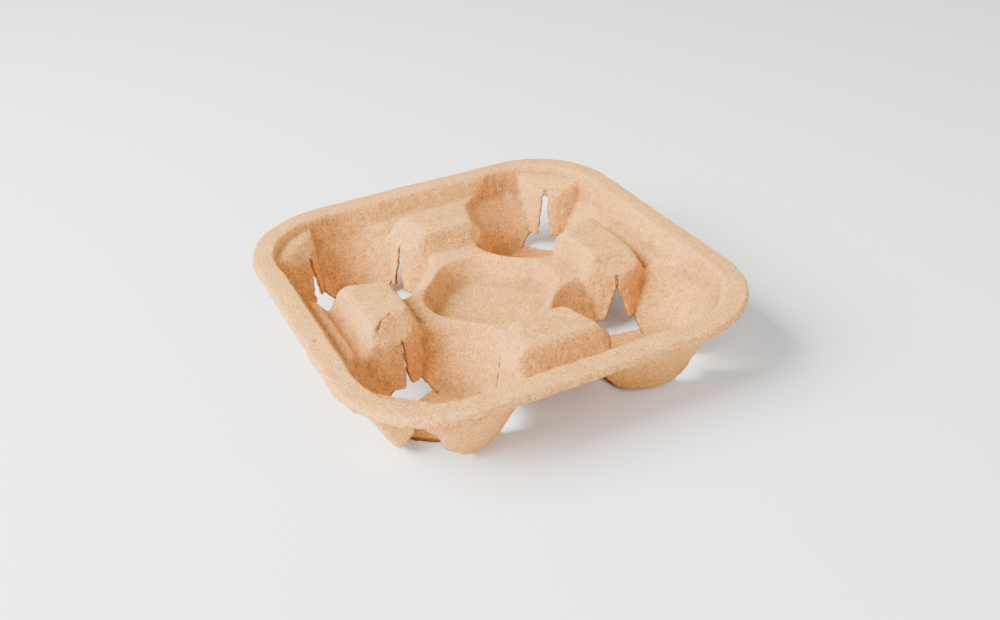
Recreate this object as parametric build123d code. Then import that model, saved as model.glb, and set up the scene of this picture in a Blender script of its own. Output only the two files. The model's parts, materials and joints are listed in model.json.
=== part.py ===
"""Four-cup carrier tray, moulded in one piece from paper pulp.

Row frame: millimetres, +Z up, origin on the resting plane under the middle of the tray.
The tray is one thin sheet. form(0) is everything under the sheet's upper skin and form(WALL)
is everything under its lower skin, so the sheet is the first less the second.
"""
import math
import os

from build123d import *

# Sheet and rim
WALL = 2.0                # thickness of the moulded pulp
RIM_SIDE = 215.0          # outside width and depth of the rim
RIM_CORNER = 50.0         # plan radius of the rim's corners
HEIGHT = 48.0             # resting plane to the top of the rim
RIM_ROLL = 4.6            # radius that turns the rim over and down
LIP_DROP = 5.2            # how far the turned lip hangs below the rim top
RIM_WIDTH = 11.0          # rim, from its outside to the inner edge of its top

# Basin inside the rim
BASIN_SLOPE = 35.0        # lean of the wall between the rim and the corner shelves, degrees
SHELF_Z = 43.0            # corner shelves, outside the pockets
SADDLE_Z = 33.0           # saddle between each pocket and the middle well
SADDLE_REACH = 70.0       # half width of the low middle part

# Cup pockets
POCKET_OFFSET = 53.7      # pocket centres from the middle, along x and along y
POCKET_FLOOR_R = 26.0     # where the line of the wall meets the floor
POCKET_KNEE_R = 41.5      # wall radius at the knee
POCKET_KNEE_Z = 33.0      # above the knee the wall is nearly upright
POCKET_MOUTH_R = 42.5     # wall radius at rim height
FOOT_BLEND = 8.0          # inside radius between wall and floor

# Grip ribs, rounded folds that stand into each pocket and carry its slots
RIB_TURN = 120.0          # angle between neighbouring ribs of a pocket, degrees
RIB_FOOT_RADIUS = 15.0    # a rib is part of a cone, with this radius at the floor
RIB_FLARE = 15.0          # half angle of that cone, degrees
RIB_FOOT_R = 24.0         # crest of a rib at the floor, from the pocket's axis
RIB_LEAN = 0.12           # outward run of the crest for each unit of height
RIB_BROW_Z = 35.0         # where the crest ends and leans back more
RIB_CAP_SLOPE = 1.1       # rise of the rib above its brow for each unit outwards
RIB_BURY = 1.2            # how fast a rib's back moves out as its skin moves in
RIB_SETBACK = 0.5         # ribs stop this far behind the faces of the hump they run into
RIB_HUMP_Z = 44.0         # and this high on its sides, under its rounded edges

# Slots through the ribs
SLIT_TOP_WIDTH = 2.4
SLIT_FOOT_WIDTH = 8.0
SLIT_REACH = 34.0
ARCH_Z = 9.5              # top of the wide opening at the foot of each slit
ARCH_TOP_WIDTH = 19.0
ARCH_FOOT_WIDTH = 27.0
ARCH_ROUND = 3.0
ARCH_FLOOR_R = 23.0       # the floor is cut straight across at this distance
TORN_ARCH_Z = 19.0        # the front pocket's outer opening is torn up to here
TORN_TOP_WIDTH = 11.0
TORN_FOOT_WIDTH = 33.0
TORN_FLOOR_R = 13.0       # and the floor behind it is torn back to here
TORN_TURN = 8.0           # the torn opening leans this far to one side, degrees

# Middle well, a rounded square turned to face the pockets
WELL_FLOOR_Z = 20.0
WELL_FLOOR_SIDE = 52.0
WELL_CORNER = 17.0
WELL_SLOPE = 27.0         # lean of the well's sides, degrees
WELL_BLEND = 6.0

# Humps between neighbouring pockets
HUMP_TOP_Z = 46.0
HUMP_INNER = 51.3         # inner edge of the top face, from the middle of the tray
HUMP_OUTER = 74.2         # outer edge of the top face
HUMP_INNER_WIDTH = 28.8
HUMP_OUTER_WIDTH = 41.4
HUMP_INNER_LEAN = 0.34    # outward run of the inner face for each unit of drop
HUMP_OUTER_LEAN = 0.40
HUMP_SIDE_LEAN = 8.0      # lean of the side faces, degrees
HUMP_ROUND = 3.6
HUMP_ROOT_Z = 14.0        # humps are rooted this low, below every skin they join

# Groove and ledge behind each hump
GROOVE_Z = 32.0
GROOVE_INNER = 75.2       # inner edge of the groove floor, inside the hump's outer face
GROOVE_OUTER = 82.5       # outer edge of the groove floor
LEDGE_Z = 37.0
LEDGE_INNER = 86.0
LEDGE_OUTER = 91.5
CHANNEL_TOP = 96.0        # where the wall above the ledge reaches the rim top
CHANNEL_WIDTH = 88.0
CHANNEL_ROUND = 1.8

CLEAR = 6.0               # how far cutters run past what they cut
QUARTERS = (0, 90, 180, 270)


def block(inset):
    """Full plan of the tray up to the rim, with the rim's outer edge rolled over."""
    lip_z = HEIGHT - LIP_DROP
    side = RIM_SIDE - 2 * inset
    top = HEIGHT - inset
    cap_base = lip_z if inset == 0 else -CLEAR
    cap = Pos(0, 0, cap_base) * extrude(
        RectangleRounded(side, side, RIM_CORNER - inset), top - cap_base)
    cap = fillet(cap.faces().sort_by(Axis.Z)[-1].edges(), RIM_ROLL - inset)
    core_side = RIM_SIDE - 2 * WALL - 2 * RIM_ROLL
    core = extrude(RectangleRounded(core_side, core_side, RIM_CORNER - RIM_ROLL), lip_z)
    return cap + core


def basin(grow):
    """Open space inside the rim, down to the corner shelves and the saddle."""
    shelf_z = SHELF_Z - grow
    spread = (HEIGHT - SHELF_Z) * math.tan(math.radians(BASIN_SLOPE))
    side = RIM_SIDE - 2 * RIM_WIDTH - 2 * spread + 2 * grow
    corner = RIM_CORNER - RIM_WIDTH - spread + grow
    upper = Pos(0, 0, shelf_z) * extrude(
        RectangleRounded(side, side, corner), HEIGHT + CLEAR - shelf_z, taper=-BASIN_SLOPE)
    saddle_z = SADDLE_Z - grow
    reach = 2 * (SADDLE_REACH + grow)
    lower = Pos(0, 0, saddle_z) * extrude(Rectangle(reach, reach), HEIGHT + CLEAR - saddle_z)
    return upper + lower


def pocket(grow):
    """Space for one cup: a tapered wall that turns into a flat floor."""
    slope = (POCKET_KNEE_R - POCKET_FLOOR_R) / (POCKET_KNEE_Z - WALL)
    spread = grow * math.hypot(1, slope)
    floor_z = WALL - grow
    foot_r = POCKET_FLOOR_R + spread - slope * grow
    outline = Polyline(
        (0, floor_z),
        (foot_r, floor_z),
        (POCKET_KNEE_R + spread, POCKET_KNEE_Z),
        (POCKET_MOUTH_R + grow, HEIGHT),
        (POCKET_MOUTH_R + grow, HEIGHT + CLEAR),
        (0, HEIGHT + CLEAR),
        close=True)
    profile = make_face(outline)
    foot = profile.vertices().sort_by_distance((foot_r, floor_z))[0]
    profile = fillet(foot, FOOT_BLEND + grow)
    return revolve(Plane.XZ * profile, Axis.Z)


def well(grow):
    """Space in the middle of the tray, with its flat sides towards the pockets."""
    side = WELL_FLOOR_SIDE + 2 * grow * math.tan(math.radians(45 - WELL_SLOPE / 2))
    floor_z = WELL_FLOOR_Z - grow
    space = extrude(
        RectangleRounded(side, side, WELL_CORNER + grow), SADDLE_Z + CLEAR - floor_z,
        taper=-WELL_SLOPE)
    space = fillet(space.faces().sort_by(Axis.Z)[0].edges(), WELL_BLEND + grow)
    return Pos(0, 0, floor_z) * Rot(0, 0, 45) * space


def rib(inset, top_z):
    """One grip rib up to top_z, drawn on the +X side of a pocket's axis."""
    flare = math.tan(math.radians(RIB_FLARE))
    tilt = RIB_FLARE + math.degrees(math.atan(RIB_LEAN))
    length = 2 * HEIGHT
    cone = Cone(
        RIB_FOOT_RADIUS - inset - flare * length / 4,
        RIB_FOOT_RADIUS - inset + flare * length * 3 / 4,
        length)
    cone = Pos(RIB_FOOT_R, 0, 0) * Rot(0, tilt, 0) * Pos(RIB_FOOT_RADIUS, 0, length / 4) * cone
    brow_x = RIB_FOOT_R + RIB_LEAN * RIB_BROW_Z
    brow_z = RIB_BROW_Z - inset * math.hypot(1, RIB_CAP_SLOPE)
    low_x = brow_x - (brow_z + CLEAR) / RIB_CAP_SLOPE
    far_x = POCKET_MOUTH_R + 2 * CLEAR
    far_z = brow_z + RIB_CAP_SLOPE * (far_x - brow_x)
    under_cap = make_face(Polyline((low_x, -CLEAR), (far_x, -CLEAR), (far_x, far_z), close=True))
    under_cap = extrude(Plane.XZ * under_cap, POCKET_MOUTH_R, both=True)
    within_wall = extrude(Circle(POCKET_MOUTH_R + inset * RIB_BURY), top_z - inset)
    return cone & under_cap & within_wall


def channel(grow):
    """Groove and ledge between one hump and the rim, drawn on the -Y side."""
    outline = Polyline(
        (GROOVE_INNER, HEIGHT + CLEAR),
        (GROOVE_INNER, GROOVE_Z),
        (GROOVE_OUTER, GROOVE_Z),
        (LEDGE_INNER, LEDGE_Z),
        (LEDGE_OUTER, LEDGE_Z),
        (CHANNEL_TOP, HEIGHT),
        (CHANNEL_TOP, HEIGHT + CLEAR),
        close=True)
    profile = make_face(outline)
    bends = profile.vertices().filter_by(lambda v: LEDGE_Z - 1 < v.Y < HEIGHT - 1)
    profile = fillet(bends, CHANNEL_ROUND)
    if grow:
        profile = offset(profile, grow, kind=Kind.INTERSECTION)
    return extrude(Plane.YZ * Rot(0, 180, 0) * profile, CHANNEL_WIDTH / 2, both=True)


def hump_bar(inset):
    """Space between the inner and outer faces of the hump on the -Y side, over the full width."""
    drop = HUMP_TOP_Z - HUMP_ROOT_Z
    section = make_face(Polyline(
        (HUMP_INNER, HUMP_TOP_Z),
        (HUMP_OUTER, HUMP_TOP_Z),
        (HUMP_OUTER + HUMP_OUTER_LEAN * drop, HUMP_ROOT_Z),
        (HUMP_INNER - HUMP_INNER_LEAN * drop, HUMP_ROOT_Z),
        close=True))
    if inset:
        section = offset(section, -inset, kind=Kind.INTERSECTION)
    return extrude(Plane.YZ * Rot(0, 180, 0) * section, POCKET_OFFSET, both=True)


def hump(inset):
    """One hump, drawn on the -Y side, with planar faces and rounded edges."""
    drop = HUMP_TOP_Z - HUMP_ROOT_Z
    run = (HUMP_OUTER_WIDTH - HUMP_INNER_WIDTH) / 2 / (HUMP_OUTER - HUMP_INNER)
    near = HUMP_INNER - HUMP_INNER_LEAN * drop - CLEAR
    far = HUMP_OUTER + HUMP_OUTER_LEAN * drop + CLEAR
    near_half = HUMP_INNER_WIDTH / 2 - run * (HUMP_INNER - near)
    far_half = HUMP_OUTER_WIDTH / 2 + run * (far - HUMP_OUTER)
    plan = Polyline(
        (-near_half, -near), (near_half, -near), (far_half, -far), (-far_half, -far),
        close=True)
    plan = make_face(plan)
    if inset:
        plan = offset(plan, -inset, kind=Kind.INTERSECTION)
    wedge = Pos(0, 0, HUMP_TOP_Z) * extrude(plan, -drop, taper=-HUMP_SIDE_LEAN)
    body = hump_bar(inset) & wedge
    top_edges = body.faces().sort_by(Axis.Z)[-1].edges().filter_by(Axis.X)
    return fillet(top_edges, HUMP_ROUND - inset / 2)


def hump_ribs(inset):
    """The two ribs that run up into the hump on the -Y side, no wider than its faces above."""
    one = rib(inset, RIB_HUMP_Z)
    ribs = Pos(POCKET_OFFSET, -POCKET_OFFSET, 0) * Rot(0, 0, -45 - RIB_TURN) * one
    ribs += Pos(-POCKET_OFFSET, -POCKET_OFFSET, 0) * Rot(0, 0, -135 + RIB_TURN) * one
    behind = inset + RIB_SETBACK
    low = extrude(Rectangle(2 * RIM_SIDE, 2 * RIM_SIDE), GROOVE_Z - behind)
    return ribs & (hump_bar(behind) + low)


def form(skin):
    """Everything under the sheet's upper skin (skin 0) or under its lower skin (skin WALL)."""
    corner = Pos(POCKET_OFFSET, POCKET_OFFSET, 0)
    corner_rib = corner * Rot(0, 0, 45) * rib(skin, SHELF_Z)
    solid = block(skin) - basin(skin) - well(skin)
    for angle in QUARTERS:
        solid -= Rot(0, 0, angle) * corner * pocket(skin)
    for angle in QUARTERS:
        solid += Rot(0, 0, angle) * corner_rib
    for angle in QUARTERS:
        solid -= Rot(0, 0, angle) * channel(skin)
    for angle in QUARTERS:
        solid += Rot(0, 0, angle) * hump_ribs(skin)
        solid += Rot(0, 0, angle) * hump(skin)
    return solid


def rib_places():
    """Where the ribs of the pocket in the +X +Y corner stand; the first faces the corner."""
    turns = (45, 45 + RIB_TURN, 45 - RIB_TURN)
    return [Pos(POCKET_OFFSET, POCKET_OFFSET, 0) * Rot(0, 0, turn) for turn in turns]


def slot():
    """Cutter for the slit up a rib and the wide opening at its foot, along +X."""
    slit = make_face(Polyline(
        (-SLIT_FOOT_WIDTH / 2, 0), (SLIT_FOOT_WIDTH / 2, 0),
        (SLIT_TOP_WIDTH / 2, RIB_BROW_Z), (-SLIT_TOP_WIDTH / 2, RIB_BROW_Z),
        close=True))
    slit = Pos(ARCH_FLOOR_R, 0, 0) * extrude(Plane.YZ * slit, SLIT_REACH - ARCH_FLOOR_R)
    return slit + arch(ARCH_Z, ARCH_TOP_WIDTH, ARCH_FOOT_WIDTH, ARCH_FLOOR_R)


def arch(top_z, top_width, foot_width, floor_r):
    """Cutter that opens the wall between two feet, from floor_r outwards and up to top_z."""
    outline = make_face(Polyline(
        (-foot_width / 2, -CLEAR), (foot_width / 2, -CLEAR),
        (foot_width / 2, 0), (top_width / 2, top_z),
        (-top_width / 2, top_z), (-foot_width / 2, 0),
        close=True))
    outline = fillet(outline.vertices().group_by(Axis.Y)[-1], ARCH_ROUND)
    return Pos(floor_r, 0, 0) * extrude(Plane.YZ * outline, POCKET_MOUTH_R - floor_r)


def carrier():
    """The whole tray."""
    tray = form(0) - form(WALL)
    cutter = slot()
    for angle in QUARTERS:
        for place in rib_places():
            tray -= Rot(0, 0, angle) * place * cutter
    torn = arch(TORN_ARCH_Z, TORN_TOP_WIDTH, TORN_FOOT_WIDTH, TORN_FLOOR_R)
    return tray - Rot(0, 0, 180) * rib_places()[0] * Rot(0, 0, TORN_TURN) * torn


os.makedirs("parts", exist_ok=True)
tray = carrier()
export_step(tray, "parts/carrier.step")
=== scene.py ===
"""Looks of the moulded-pulp cup carrier.

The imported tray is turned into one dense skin. Its folds are softened, its slits are worked open or
closed, its cut edges are roughened, and the damage of a used tray is pressed into it. Lengths are
millimetres unless a name says metres.
"""
import json
import math

import bmesh
import bpy
import numpy as np
from mathutils import Matrix, Vector


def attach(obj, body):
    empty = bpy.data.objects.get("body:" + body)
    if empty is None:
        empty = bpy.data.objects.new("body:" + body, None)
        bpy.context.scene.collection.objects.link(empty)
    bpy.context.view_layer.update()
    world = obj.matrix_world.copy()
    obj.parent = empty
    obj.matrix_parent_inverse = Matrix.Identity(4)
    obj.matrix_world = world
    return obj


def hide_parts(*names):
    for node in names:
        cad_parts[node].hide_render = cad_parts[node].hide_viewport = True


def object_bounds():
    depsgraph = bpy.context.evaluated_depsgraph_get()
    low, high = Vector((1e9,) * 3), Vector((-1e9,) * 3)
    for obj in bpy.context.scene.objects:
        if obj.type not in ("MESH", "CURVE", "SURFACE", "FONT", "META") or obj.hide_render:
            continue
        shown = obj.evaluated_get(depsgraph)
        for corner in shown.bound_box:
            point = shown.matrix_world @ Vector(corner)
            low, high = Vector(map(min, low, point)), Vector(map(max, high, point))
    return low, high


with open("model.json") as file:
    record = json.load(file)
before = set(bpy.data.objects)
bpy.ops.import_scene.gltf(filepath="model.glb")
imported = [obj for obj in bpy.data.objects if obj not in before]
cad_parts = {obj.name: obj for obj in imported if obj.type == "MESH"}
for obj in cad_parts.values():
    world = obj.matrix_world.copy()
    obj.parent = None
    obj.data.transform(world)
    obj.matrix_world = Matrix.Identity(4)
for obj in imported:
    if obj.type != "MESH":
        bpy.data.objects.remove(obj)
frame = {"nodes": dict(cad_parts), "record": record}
cad_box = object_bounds()

MM = 0.001                     # metres in a millimetre

# Camera and light
CAMERA_TURN = -26.01           # degrees round the tray from the -Y side
CAMERA_RISE = 32.81            # degrees above the floor
CAMERA_ROLL = -2.37            # degrees about the line of sight
CAMERA_DISTANCE = 565.5
CAMERA_SIDE = 3.74             # how far the camera stands off the line to the origin, rightwards
CAMERA_UP = 15.91              # and upwards
LENS = 37.63
SENSOR = 36.0
CLIP_START_METRES = 0.01
LAMPS = (                      # name, place in metres, side in metres, watts, colour
    ("key", (-1.1, 0.1, 0.95), 1.0, 116.0, (1.0, 0.98, 0.94)),
    ("fill", (0.5, -1.2, 0.9), 1.6, 24.0, (0.90, 0.95, 1.0)),
)
WORLD_STRENGTH = 0.42
FLOOR_SIDE_METRES = 12
FLOOR_PALE = 0.90
FLOOR_ROUGHNESS = 0.9
FLOOR_SHEEN = 0.1

# Skin
VOXEL = 0.75                   # side of the even mesh's cells
WELD = 0.002                   # vertices this near are one
MOST_TRIANGLES = 194000
SOFT_PASSES = 22               # rounds of smoothing in the open sheet
EDGE_SHARE = 0.05              # how far each round moves a point towards its neighbours, at a cut edge
OPEN_SHARE = 0.13              # what the open sheet adds to that
POCKET_SHARE = 0.37            # and what the inside of a pocket adds
RIM_SHARE = 0.25               # part of all this that the rim gets
SETTLE_PASSES = 2              # rounds of even smoothing at the end
SETTLE_SHARE = 0.12
BOX_MARGIN = 0.0005            # keeps rounding from taking the skin past the CAD box

# The tray's own sizes
RIM_HALF = 107.5
RIM_CORNER = 50.0
RIM_TOP = 48.0
RIM_ROLL = 4.6                 # radius that turns the rim over and down
WALL = 2.0
LIP_Z = 43.0                   # the rim's free edge
RIM_SQUARENESS = 5.0           # power of the curve that the rim's outer edge is pressed to
POCKET_MOUTH_R = 42.5
POCKET_MIDDLE_OUT = 14.0       # nearer than every slit, out from a pocket's axis
POCKET_WALL_OUT = 46.0         # beyond every slot, out from a pocket's axis
POCKET_RIBS = (0.0, 120.0, -120.0)  # degrees round a pocket from its outward side
ARCH_TOP = 9.5                 # the wide opening at a slot's foot ends here, and the slit begins
SLIT_TOP = 35.0
ARCH_HALVES = ((13.5, 0.0), (9.5, ARCH_TOP))    # half width and height
SLOT_FLOOR_R = 23.0            # where a slot cuts the floor, out from the pocket's axis
SLIT_FOOT_HALF = 3.3           # half width of each slit where it meets its opening
SLIT_TOP_HALF = 1.2
SLIT_SHAPES = {                # pocket and rib: half width at the foot, height of the crack, its half width
    ("front", -120.0): (2.2, 17.0, 0.25),
    ("front", 120.0): (0.9, 22.0, 0.2),
    ("right", 120.0): (6.2, 28.0, 0.2),
    ("left", 0.0): (3.6, 30.0, 0.3),
    ("left", -120.0): (4.2, 31.0, 0.4),
    ("back", 0.0): (3.6, 38.0, 0.7),
}
TORN_OUTLINE = ((16.5, 0.0), (5.5, 19.0), (0.0, 19.0))   # the front pocket's outer slot, half outline
TORN_FLOOR_R = 13.0
TORN_TURN = 8.0                # degrees that it leans to one side
FAR = 99.0                     # stands for no edge near


def seats():
    """Name and axis of each cup pocket, from the record's seats."""
    places = {}
    for mount in frame["record"]["mounts"]:
        if mount["name"].startswith("cup_seat_"):
            places[mount["name"][9:]] = np.array(mount["pos_m"][:2]) / MM
    return places


# ---------------------------------------------------------------- noise

HASH_PRIMES = (73856093, 19349663, 83492791)
HASH_SEED = 2654435761
HASH_MIX = 1274126177
HASH_SPAN = 0xFFFF
NOISE_SHIFT = 1000.0           # keeps every cell number above zero


def lattice(cells, seed):
    """A repeatable value from 0 to 1 for each whole-number cell."""
    first, second, third = (cells[:, k] * HASH_PRIMES[k] for k in range(3))
    mixed = first ^ second ^ third ^ seed * HASH_SEED
    mixed = (mixed ^ (mixed >> 13)) * HASH_MIX & 0xFFFFFFFF
    mixed = (mixed ^ (mixed >> 16)) & HASH_SPAN
    return mixed / HASH_SPAN


def noise(points, grain, seed):
    """Smooth noise from -1 to 1 whose lumps are about grain millimetres wide."""
    scaled = points / grain + NOISE_SHIFT
    cell = np.floor(scaled).astype(np.int64)
    part = scaled - cell
    part = part * part * part * (part * (part * 6 - 15) + 10)
    total = np.zeros(len(points))
    for corner in range(8):
        step = np.array([corner & 1, corner >> 1 & 1, corner >> 2 & 1])
        weight = np.prod(np.where(step == 1, part, 1 - part), axis=1)
        total += weight * lattice(cell + step, seed)
    return 2 * total - 1


def rough(points, grain, seed, layers=3):
    """Noise with finer and fainter layers added."""
    total = np.zeros(len(points))
    for layer in range(layers):
        total += noise(points, grain / 2 ** layer, seed + layer) / 2 ** layer
    return total / (2 - 2 ** (1 - layers))


# ---------------------------------------------------------------- where things are

def ease(value, low, high):
    """0 below low, 1 above high, and a smooth climb between."""
    share = np.clip((value - low) / (high - low), 0, 1)
    return share * share * (3 - 2 * share)


def near(distance, width):
    """1 at an edge, fading to nothing beyond about twice the width."""
    return np.exp(-(distance / width) ** 2)


def to_line(points, line):
    """Distance of each point from a chain of straight stretches, and how far along the chain it is."""
    best = np.full(len(points), np.inf)
    along = np.zeros(len(points))
    line = np.array(line, float)
    for index, (start, end) in enumerate(zip(line[:-1], line[1:])):
        run = end - start
        share = np.clip((points - start) @ run / (run @ run), 0, 1)
        gap = np.linalg.norm(points - start - share[:, None] * run, axis=1)
        nearer = gap < best
        best[nearer] = gap[nearer]
        along[nearer] = (index + share[nearer]) / (len(line) - 1)
    return best, along


def rim_depth(points):
    """How far inside the rim's outer edge each point lies, in plan."""
    straight = RIM_HALF - RIM_CORNER
    beyond = np.abs(points[:, :2]) - straight
    outside = np.linalg.norm(np.maximum(beyond, 0), axis=1)
    return RIM_CORNER - outside - np.minimum(beyond.max(1), 0)


def rib_axes():
    """Pocket name, axis and outward angle of each of the twelve ribs."""
    for name, axis in seats().items():
        outward = math.atan2(axis[1], axis[0])
        for turn in POCKET_RIBS:
            yield name, axis, turn, outward + math.radians(turn)


def beside_rib(points, axis, angle):
    """Points as distance out along a rib's direction, distance sideways, and height."""
    offset = points[:, :2] - axis
    out = offset @ np.array([math.cos(angle), math.sin(angle)])
    side = offset @ np.array([-math.sin(angle), math.cos(angle)])
    return out, side, points[:, 2]


def made_half(height):
    """Half width of a slit as it was cut."""
    return np.interp(height, (ARCH_TOP, SLIT_TOP), (SLIT_FOOT_HALF, SLIT_TOP_HALF))


def used_half(height, name, turn):
    """Half width of a slit as use has left it: it gapes at the foot and narrows to a crack."""
    if (name, turn) not in SLIT_SHAPES:
        return made_half(height)
    foot, closed_z, crack = SLIT_SHAPES[name, turn]
    return np.where(height <= SLIT_TOP, np.interp(height, (ARCH_TOP, closed_z), (foot, crack)), crack)


def slot_outline(name, turn):
    """Half outline of a slot as use has left it, from its foot up."""
    closed_z = SLIT_SHAPES.get((name, turn), (0, SLIT_TOP, 0))[1]
    slit = [(float(used_half(height, name, turn)), height) for height in (ARCH_TOP, closed_z, SLIT_TOP)]
    return ARCH_HALVES + tuple(slit) + ((0.0, SLIT_TOP),)


def work_slits(points):
    """Opens or closes the slits to the widths that use has left."""
    points = points.copy()
    for name, axis, turn, angle in rib_axes():
        out, side, height = beside_rib(points, axis, angle)
        change = used_half(height, name, turn) - made_half(height)
        fade = 1 - ease(np.abs(side), 3.0, 13.0)
        fade = fade * ease(height, ARCH_TOP - 6, ARCH_TOP + 1)
        fade = fade * (1 - ease(height, SLIT_TOP - 2, SLIT_TOP + 4))
        shift = np.sign(side) * change * fade * ((out > POCKET_MIDDLE_OUT) & (out < POCKET_WALL_OUT))
        points[:, 0] -= math.sin(angle) * shift
        points[:, 1] += math.cos(angle) * shift
    return points


def slot_edges(points):
    """Distance of each point from the nearest cut edge of a slot."""
    nearest = np.full(len(points), FAR)
    for name, axis, turn, angle in rib_axes():
        torn = name == "front" and turn == 0.0
        outline = TORN_OUTLINE if torn else slot_outline(name, turn)
        floor_r = TORN_FLOOR_R if torn else SLOT_FLOOR_R
        if torn:
            angle += math.radians(TORN_TURN)
        out, side, height = beside_rib(points, axis, angle)
        gap, _ = to_line(np.stack([np.abs(side), height], 1), outline)
        gap = np.where((out > floor_r - 4) & (out < POCKET_WALL_OUT), gap, FAR)
        floor_gap = np.hypot(out - floor_r, np.maximum(np.abs(side) - outline[0][0], 0))
        floor_gap = np.where(height < 3, floor_gap, FAR)
        nearest = np.minimum(nearest, np.minimum(gap, floor_gap))
    return nearest


def lip_edge(points):
    """Distance of each point from the free edge of the rolled rim."""
    return np.hypot(np.maximum(rim_depth(points) - WALL, 0), points[:, 2] - LIP_Z)


# ---------------------------------------------------------------- skin

def dense_copy(node):
    """The CAD node as an evenly meshed closed skin."""
    shape = bmesh.new()
    shape.from_mesh(node.data)
    bmesh.ops.remove_doubles(shape, verts=shape.verts, dist=WELD * MM)
    mesh = bpy.data.meshes.new("pulp_tray")
    shape.to_mesh(mesh)
    shape.free()
    skin = bpy.data.objects.new("pulp_tray", mesh)
    bpy.context.scene.collection.objects.link(skin)
    remesh = skin.modifiers.new("voxels", "REMESH")
    remesh.mode = "VOXEL"
    remesh.voxel_size = VOXEL * MM
    settle(skin)
    return skin


def settle(piece):
    """Applies a piece's modifiers."""
    graph = bpy.context.evaluated_depsgraph_get()
    mesh = bpy.data.meshes.new_from_object(piece.evaluated_get(graph))
    piece.modifiers.clear()
    old = piece.data
    piece.data = mesh
    bpy.data.meshes.remove(old)


def read_points(mesh):
    """Vertex positions in millimetres."""
    flat = np.empty(len(mesh.vertices) * 3, np.float32)
    mesh.vertices.foreach_get("co", flat)
    return flat.reshape(-1, 3).astype(float) / MM


def write_points(mesh, points):
    mesh.vertices.foreach_set("co", (points * MM).astype(np.float32).ravel())
    mesh.update()


def read_normals(mesh):
    flat = np.empty(len(mesh.vertices) * 3, np.float32)
    mesh.vertex_normals.foreach_get("vector", flat)
    return flat.reshape(-1, 3).astype(float)


def read_edges(mesh):
    flat = np.empty(len(mesh.edges) * 2, np.int32)
    mesh.edges.foreach_get("vertices", flat)
    return flat.reshape(-1, 2)


def neighbour_mean(values, edges):
    """For each vertex, the mean of the values at the other ends of its edges."""
    count = len(values)
    first, second = edges[:, 0], edges[:, 1]
    links = np.bincount(first, minlength=count) + np.bincount(second, minlength=count)
    mean = np.empty_like(values)
    for column in range(values.shape[1]):
        total = np.bincount(first, values[second, column], count)
        total += np.bincount(second, values[first, column], count)
        mean[:, column] = total / np.maximum(links, 1)
    return mean


def press_rim(points):
    """Presses the rim's round outer edge squarer, as a hot press leaves it."""
    straight = RIM_HALF - RIM_CORNER
    outward = np.sign(points[:, :2]) * np.maximum(np.abs(points[:, :2]) - straight, 0)
    reach = np.maximum(np.linalg.norm(outward, axis=1), 1e-6)
    across = RIM_ROLL - rim_depth(points)
    above = points[:, 2] - (RIM_TOP - RIM_ROLL)
    span = np.maximum(np.hypot(across, above), 1e-6)
    power = RIM_SQUARENESS
    grown = (np.abs(across / span) ** power + np.abs(above / span) ** power) ** (-1 / power) - 1
    grown = np.where((across > 0) & (above > 0), grown, 0)
    pressed = points.copy()
    pressed[:, :2] += outward / reach[:, None] * (grown * across)[:, None]
    pressed[:, 2] += grown * above
    return pressed


def soften(points, edges, share, passes):
    """Smooths the skin, by a share that may differ from place to place."""
    for _ in range(passes):
        points = points + share[:, None] * (neighbour_mean(points, edges) - points)
    return points


def in_pocket(points):
    """1 on the ribs and walls inside the cup pockets, 0 outside them."""
    share = np.zeros(len(points))
    for axis in seats().values():
        reach = np.linalg.norm(points[:, :2] - axis, axis=1)
        share = np.maximum(share, 1 - ease(reach, POCKET_MOUTH_R - 3, POCKET_MOUTH_R + 2))
    return share * ease(points[:, 2], 8, 16)


def soft_share(points):
    """How much each place is smoothed: little at cut edges, folds and the rim, most in the pockets."""
    free = np.minimum(slot_edges(points), lip_edge(points))
    share = EDGE_SHARE + (OPEN_SHARE + POCKET_SHARE * in_pocket(points)) * ease(free, 1.0, 4.0)
    return share * (RIM_SHARE + (1 - RIM_SHARE) * ease(rim_depth(points), 5.0, 10.0))


# ---------------------------------------------------------------- shape of use and wear

WAVER = 0.45                   # furthest that slow unevenness moves the sheet
WAVER_GRAIN = 38.0
WAVER_SEEDS = (11, 12, 13)
SWING_SEED = 21
LIP_OUT = 2.2                  # how many half widths the torn lip lies from its crack
LIP_GRAIN = 2.2
SWINGS = ((0.9, 5.0, 0), (0.5, 1.8, 6))         # how far, how wide the wander is, and the seed past the first


def waver(points):
    """Slow unevenness that bends the whole sheet, least at the feet."""
    moved = points.copy()
    high = ease(points[:, 2], 0, 30)
    for column, seed in enumerate(WAVER_SEEDS):
        moved[:, column] += WAVER * high * noise(points, WAVER_GRAIN, seed)
    return moved


def swing(points):
    """Sideways wander that makes a crack ragged."""
    total = np.zeros_like(points)
    for reach, grain, step in SWINGS:
        total += reach * np.stack([noise(points, grain, SWING_SEED + step + k) for k in range(3)], 1)
    return total


def carve(points, normals, line, width, depth, lip, seed):
    """Presses a ragged crack along a line and raises a torn lip beside it."""
    swung = points + swing(points)
    gap, along = to_line(swung, line)
    fade = np.sin(np.pi * np.clip(along, 0.03, 0.97)) ** 0.5
    groove = near(gap, width) * depth
    ridge = near(gap - LIP_OUT * width, width) * lip * (0.6 + 0.8 * noise(points, LIP_GRAIN, seed + 5))
    return points + normals * (fade * (ridge - groove))[:, None]


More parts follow.
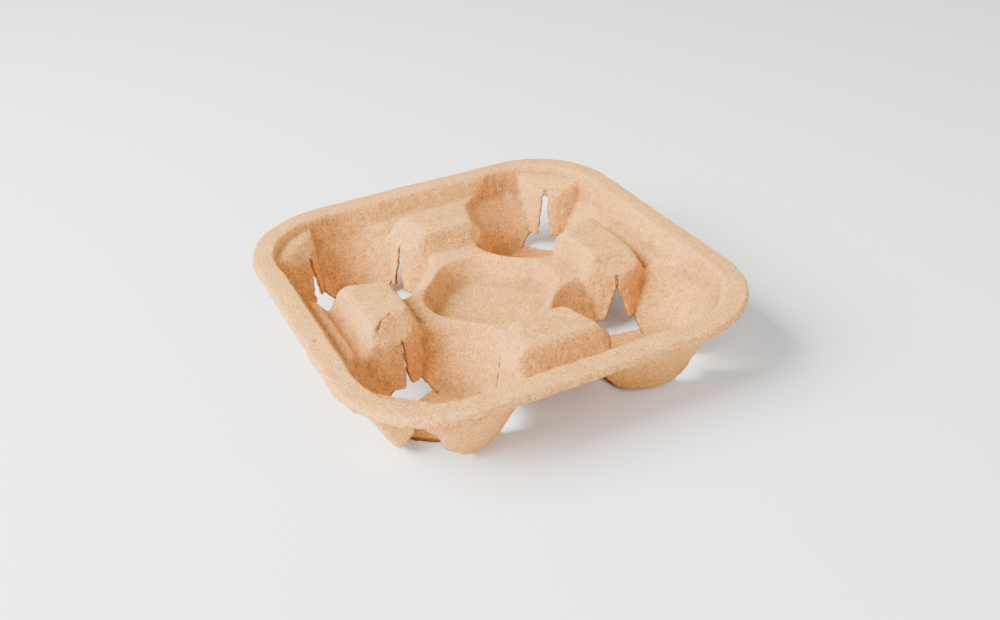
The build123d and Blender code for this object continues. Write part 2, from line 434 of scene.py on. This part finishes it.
HUMP_TEAR_LEFT = ((-51.6, -14.8, 45), (-60.9, -15.2, 46), (-68.4, -18.7, 45), (-77.7, -27.1, 38))
HUMP_TEAR_BACK = ((46.4, 13.1, 44), (48.5, 4.1, 45), (47.1, -5.2, 46), (49.7, -16.2, 45), (60.1, -22.4, 43),
                  (68.1, -26.0, 41))
HUMP_CREASE_LEFT = ((-74.6, 13.0, 46), (-74.6, -1.3, 46), (-77.1, -16.9, 45))
SCABS = (                      # raised specks of pulp: place, radius and height
    ((-19.1, -58.9, 46), 1.6, 0.7), ((-20.4, -63.0, 45), 1.9, 0.6), ((-13.1, -59.2, 46), 1.2, 0.6),
    ((3.0, -71.9, 46), 1.5, 0.5), ((9.5, -78.0, 43), 1.6, 0.6), ((-16.0, -66.0, 46), 1.0, 0.7),
    ((-8.0, 60.0, 46), 1.4, 0.5), ((66.0, 8.0, 46), 1.3, 0.5),
)
RIM_SPLITS = (                 # cracks across the rim
    ((-107.2, -15.8, 48), (-106.4, -25.7, 46)),
    ((-106.4, -25.7, 46), (-100.9, -21.4, 48)),
    ((-107.6, 2.0, 46), (-99.0, 6.0, 47)),
    ((-40.6, 107.0, 45), (-34.8, 101.0, 47)),
)
CRACKS = (                     # line, half width, depth, height of the torn lip, and seed
    (HUMP_TEAR_LEFT, 0.6, 1.1, 0.5, 21),
    (HUMP_TEAR_BACK, 0.8, 0.8, 0.9, 31),
    (HUMP_CREASE_LEFT, 1.6, 0.5, 0.2, 41),
) + tuple((line, 0.8, 1.2, 0.4, 51 + 7 * index) for index, line in enumerate(RIM_SPLITS))


def age(points, normals):
    """Cracks, torn wrinkles and raised specks."""
    for line, width, depth, lip, seed in CRACKS:
        points = carve(points, normals, line, width, depth, lip, seed)
    for place, radius, height in SCABS:
        gap = np.linalg.norm(points - np.array(place), axis=1) / radius
        points = points + normals * (height * np.exp(-gap ** 2))[:, None]
    return points


LUMP, LUMP_GRAIN = 0.24, 7.0
PIMPLE, PIMPLE_GRAIN = 0.26, 2.6
WRINKLE, WRINKLE_GRAIN = 0.42, 2.6
WRINKLE_SQUEEZE = np.array([1.0, 1.0, 0.22])    # heights are squeezed, so that wrinkles run upwards
RAGGED, RAGGED_GRAIN, RAGGED_WIDTH = 0.85, 3.0, 1.6
DECKLE, DECKLE_GRAIN, DECKLE_WIDTH = 0.95, 5.0, 2.6


def fray(points, normals):
    """Fine relief: lumps everywhere, drying wrinkles on the walls, ragged cut edges and a deckled rim."""
    upright = 1 - np.abs(normals[:, 2])
    lumps = LUMP * rough(points, LUMP_GRAIN, 61) + PIMPLE * rough(points, PIMPLE_GRAIN, 67)
    wrinkles = WRINKLE * ease(upright, 0.35, 0.8) * rough(points * WRINKLE_SQUEEZE, WRINKLE_GRAIN, 71)
    ragged = RAGGED * near(slot_edges(points), RAGGED_WIDTH) * rough(points, RAGGED_GRAIN, 75)
    deckle = DECKLE * near(lip_edge(points), DECKLE_WIDTH) * rough(points, DECKLE_GRAIN, 81)
    return points + normals * (lumps + wrinkles + ragged + deckle)[:, None]


def keep_inside(points):
    """Holds the skin within the CAD box."""
    low = np.array(cad_box[0]) / MM + BOX_MARGIN
    high = np.array(cad_box[1]) / MM - BOX_MARGIN
    return np.clip(points, low, high)


def pulp_tray():
    """The tray's visible skin, standing in for the CAD node."""
    skin = dense_copy(frame["nodes"]["carrier"])
    points, edges = read_points(skin.data), read_edges(skin.data)
    points = work_slits(press_rim(points))
    points = soften(points, edges, soft_share(points), SOFT_PASSES)
    points = waver(points)
    write_points(skin.data, points)
    points = age(points, read_normals(skin.data))
    points = soften(points, edges, np.full(len(points), SETTLE_SHARE), SETTLE_PASSES)
    write_points(skin.data, points)
    points = fray(points, read_normals(skin.data))
    write_points(skin.data, keep_inside(points))
    thin(skin)
    write_points(skin.data, keep_inside(read_points(skin.data)))
    shade_marks(skin)
    for face in skin.data.polygons:
        face.use_smooth = True
    return skin


def thin(skin):
    """Drops triangles where the skin is plain."""
    decimate = skin.modifiers.new("thin", "DECIMATE")
    decimate.ratio = min(1.0, MOST_TRIANGLES / sum(len(f.vertices) - 2 for f in skin.data.polygons))
    decimate.use_collapse_triangulate = True
    settle(skin)


RIM_MARK, CUT_MARK, TEAR_MARK = 2.2, 0.9, 1.0   # how wide each mark is
HOLLOW_BLUR = 4                # rounds of blurring
HOLLOW_GAIN = 2.5


def shade_marks(skin):
    """Stores what the material needs: hollows and crests, the rim's edge, cut edges, and the tears."""
    mesh = skin.data
    points, normals, edges = read_points(mesh), read_normals(mesh), read_edges(mesh)
    # The blurred concavity below drives painted shade: the material darkens hollows and creases with it and
    # makes crests paler.
    inward = np.einsum("ij,ij->i", neighbour_mean(points, edges) - points, normals)[:, None]
    for _ in range(HOLLOW_BLUR):
        inward = 0.5 * inward + 0.5 * neighbour_mean(inward, edges)
    store(mesh, "hollow", np.clip(0.5 + HOLLOW_GAIN * inward[:, 0], 0, 1))
    store(mesh, "rim", near(lip_edge(points), RIM_MARK))
    # Partly a real tint and partly painted shade: dark rust brown along every slot's cut edge, which also
    # darkens the narrow slit gaps where there is only their shadow.
    store(mesh, "cut", near(slot_edges(points), CUT_MARK))
    # The tear lines below carry painted shade: a dark line that stands in for the shadow inside cracks too
    # fine for the mesh.
    tears = np.full(len(points), FAR)
    for line in (HUMP_TEAR_LEFT, HUMP_TEAR_BACK) + RIM_SPLITS:
        tears = np.minimum(tears, to_line(points + swing(points), line)[0])
    store(mesh, "tear", near(tears, TEAR_MARK))


def store(mesh, name, values):
    layer = mesh.attributes.new(name, "FLOAT", "POINT")
    layer.data.foreach_set("value", values.astype(np.float32))


# ---------------------------------------------------------------- material

class Nodes:
    """Short calls for building a material."""

    def __init__(self, name):
        self.material = bpy.data.materials.new(name)
        self.material.use_nodes = True
        self.tree = self.material.node_tree
        self.shader = self.tree.nodes["Principled BSDF"]
        self.place = self.tree.nodes.new("ShaderNodeTexCoord").outputs["Object"]

    def link(self, source, target):
        self.tree.links.new(source, target)

    def stretch(self, scale):
        """The object's own coordinates, stretched."""
        mapping = self.tree.nodes.new("ShaderNodeMapping")
        mapping.inputs["Scale"].default_value = scale
        self.link(self.place, mapping.inputs["Vector"])
        return mapping.outputs["Vector"]

    def noise(self, size_mm, detail, warp, scale=(1, 1, 1), roughness=0.5):
        """Noise whose lumps are about size_mm wide."""
        texture = self.tree.nodes.new("ShaderNodeTexNoise")
        texture.inputs["Scale"].default_value = 1 / (size_mm * MM)
        texture.inputs["Detail"].default_value = detail
        texture.inputs["Distortion"].default_value = warp
        texture.inputs["Roughness"].default_value = roughness
        self.link(self.stretch(scale), texture.inputs["Vector"])
        return texture.outputs["Fac"]

    def mark(self, name):
        """A value that shade_marks stored."""
        attribute = self.tree.nodes.new("ShaderNodeAttribute")
        attribute.attribute_name = name
        return attribute.outputs["Fac"]

    def span(self, value, low, high, to_low=0.0, to_high=1.0):
        """Carries a value smoothly from one range to another."""
        node = self.tree.nodes.new("ShaderNodeMapRange")
        node.interpolation_type = "SMOOTHSTEP"
        self.link(value, node.inputs["Value"])
        for key, number in (("From Min", low), ("From Max", high), ("To Min", to_low), ("To Max", to_high)):
            node.inputs[key].default_value = number
        return node.outputs["Result"]

    def sum(self, parts):
        """Adds up (value, weight) pairs."""
        total = None
        for value, weight in parts:
            node = self.tree.nodes.new("ShaderNodeMath")
            node.operation = "MULTIPLY_ADD"
            self.link(value, node.inputs[0])
            node.inputs[1].default_value = weight
            if total is not None:
                self.link(total, node.inputs[2])
            else:
                node.inputs[2].default_value = 0.0
            total = node.outputs[0]
        return total

    def product(self, first, second):
        node = self.tree.nodes.new("ShaderNodeMath")
        node.operation = "MULTIPLY"
        self.link(first, node.inputs[0])
        self.link(second, node.inputs[1])
        return node.outputs[0]

    def scale(self, colour, value):
        node = self.tree.nodes.new("ShaderNodeVectorMath")
        node.operation = "SCALE"
        self.link(colour, node.inputs["Vector"])
        self.link(value, node.inputs["Scale"])
        return node.outputs["Vector"]

    def blend(self, share, first, second):
        """The first colour where the share is 0, and the second where it is 1."""
        node = self.tree.nodes.new("ShaderNodeMix")
        node.data_type = "RGBA"
        self.link(share, node.inputs["Factor"])
        for socket, colour in ((node.inputs[6], first), (node.inputs[7], second)):
            if isinstance(colour, tuple):
                socket.default_value = colour + (1.0,)
            else:
                self.link(colour, socket)
        return node.outputs[2]


BUMP_STRENGTH = 0.9
BUMP_HEIGHT = 1.1
SHEEN = 0.18                   # specular level of dry pulp
TAN = (0.770, 0.335, 0.080)
PALE = (0.930, 0.435, 0.110)
BROWN = (0.180, 0.105, 0.045)
# Dark rust brown: real chips along the rim's edge, and painted shade along cut edges and tears.
RUST_AND_SHADE = (0.140, 0.040, 0.010)


def pulp():
    """Unbleached paper pulp: matte, mottled and full of short fibres, with painted shade in hollows, cracks
    and slit gaps, and paler crests.
    """
    made = Nodes("moulded_pulp")
    cloud = made.noise(22.0, detail=4.0, warp=0.6)
    mottle = made.noise(3.2, detail=4.0, warp=0.8, roughness=0.65)
    grit = made.noise(0.9, detail=3.0, warp=0.3, roughness=0.7)
    grain = made.noise(1.2, detail=5.0, warp=0.2, roughness=0.85)
    fibre = made.noise(1.3, detail=3.0, warp=2.6, scale=(1.0, 0.35, 0.6))
    cross = made.noise(1.3, detail=3.0, warp=2.6, scale=(0.35, 1.0, 0.8))
    speck = made.span(made.noise(1.5, detail=2.0, warp=0.4), 0.66, 0.74)
    colour = made.blend(made.span(made.sum(((cloud, 0.5), (mottle, 0.5))), 0.38, 0.62), TAN, PALE)
    colour = made.blend(made.span(grit, 0.30, 0.55, 0.22, 0.0), colour, BROWN)
    # Painted shade: darker brown in hollows and creases; the next line makes crests paler.
    colour = made.blend(made.span(made.mark("hollow"), 0.50, 0.75, 0.0, 0.45), colour, BROWN)
    colour = made.blend(made.span(made.mark("hollow"), 0.47, 0.25, 0.0, 0.45), colour, PALE)
    colour = made.blend(made.span(speck, 0.0, 1.0, 0.0, 0.4), colour, BROWN)
    # Partly a real tint and partly painted shade: dark rust brown along the cut edges and in the narrow slit
    # gaps.
    colour = made.blend(made.span(made.mark("cut"), 0.1, 1.0, 0.0, 0.75), colour, RUST_AND_SHADE)
    # Painted shade: a dark line along each tear, in place of the shadow inside the crack.
    colour = made.blend(made.span(made.mark("tear"), 0.3, 1.0, 0.0, 0.6), colour, RUST_AND_SHADE)
    colour = made.blend(made.span(grain, 0.54, 0.34, 0.0, 0.55), colour, BROWN)
    colour = made.scale(colour, made.span(grain, 0.40, 0.66, 0.86, 1.20))
    chips = made.span(made.noise(2.6, detail=4.0, warp=1.2, roughness=0.7), 0.50, 0.62)
    chips = made.product(chips, made.mark("rim"))
    colour = made.blend(made.span(chips, 0.1, 0.9, 0.0, 0.55), colour, RUST_AND_SHADE)
    made.link(colour, made.shader.inputs["Base Color"])
    made.shader.inputs["Specular IOR Level"].default_value = SHEEN
    made.link(made.span(mottle, 0.3, 0.7, 0.82, 0.96), made.shader.inputs["Roughness"])
    relief = made.sum(((mottle, 1.2), (grain, 0.8), (grit, 0.4), (fibre, 0.6), (cross, 0.6)))
    bump = made.tree.nodes.new("ShaderNodeBump")
    bump.inputs["Strength"].default_value = BUMP_STRENGTH
    bump.inputs["Distance"].default_value = BUMP_HEIGHT * MM
    made.link(relief, bump.inputs["Height"])
    made.link(bump.outputs["Normal"], made.shader.inputs["Normal"])
    return made.material


# ---------------------------------------------------------------- stage

def floor():
    """Plain pale floor under the tray."""
    bpy.ops.mesh.primitive_plane_add(size=FLOOR_SIDE_METRES, location=(0, 0, 0))
    plane = bpy.context.object
    plane.name = "floor"
    made = Nodes("pale_floor")
    made.shader.inputs["Base Color"].default_value = (FLOOR_PALE, FLOOR_PALE, FLOOR_PALE, 1)
    made.shader.inputs["Roughness"].default_value = FLOOR_ROUGHNESS
    made.shader.inputs["Specular IOR Level"].default_value = FLOOR_SHEEN
    plane.data.materials.append(made.material)


def light(name, place, size, watts, colour):
    """A soft square lamp that faces the tray."""
    lamp = bpy.data.lights.new(name, "AREA")
    lamp.size = size
    lamp.energy = watts
    lamp.color = colour
    holder = bpy.data.objects.new(name, lamp)
    holder.location = place
    holder.rotation_euler = (-Vector(place)).to_track_quat("-Z", "Y").to_euler()
    bpy.context.scene.collection.objects.link(holder)


def lights():
    """A warm key from the left, a cool fill from the front, and an even white world."""
    for lamp in LAMPS:
        light(*lamp)
    world = bpy.data.worlds.new("studio")
    world.use_nodes = True
    world.node_tree.nodes["Background"].inputs["Color"].default_value = (1, 1, 1, 1)
    world.node_tree.nodes["Background"].inputs["Strength"].default_value = WORLD_STRENGTH
    bpy.context.scene.world = world


def camera():
    """Camera a little above the tray, looking at its front corner."""
    turn, rise, roll = (math.radians(a) for a in (CAMERA_TURN, CAMERA_RISE, CAMERA_ROLL))
    back = Vector((math.sin(turn) * math.cos(rise), -math.cos(turn) * math.cos(rise), math.sin(rise)))
    right = (-back).cross(Vector((0, 0, 1))).normalized()
    up = right.cross(-back)
    rolled_right = math.cos(roll) * right + math.sin(roll) * up
    rolled_up = -math.sin(roll) * right + math.cos(roll) * up
    place = back * CAMERA_DISTANCE + rolled_right * CAMERA_SIDE + rolled_up * CAMERA_UP
    view = bpy.data.cameras.new("camera")
    view.lens = LENS
    view.sensor_width = SENSOR
    view.clip_start = CLIP_START_METRES
    holder = bpy.data.objects.new("camera", view)
    axes = Matrix((rolled_right, rolled_up, back)).transposed()
    holder.matrix_world = Matrix.Translation(place * MM) @ axes.to_4x4()
    bpy.context.scene.collection.objects.link(holder)
    bpy.context.scene.camera = holder


camera()
lights()
floor()
tray = pulp_tray()
tray.data.materials.clear()
tray.data.materials.append(pulp())
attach(tray, "root")
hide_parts("carrier")
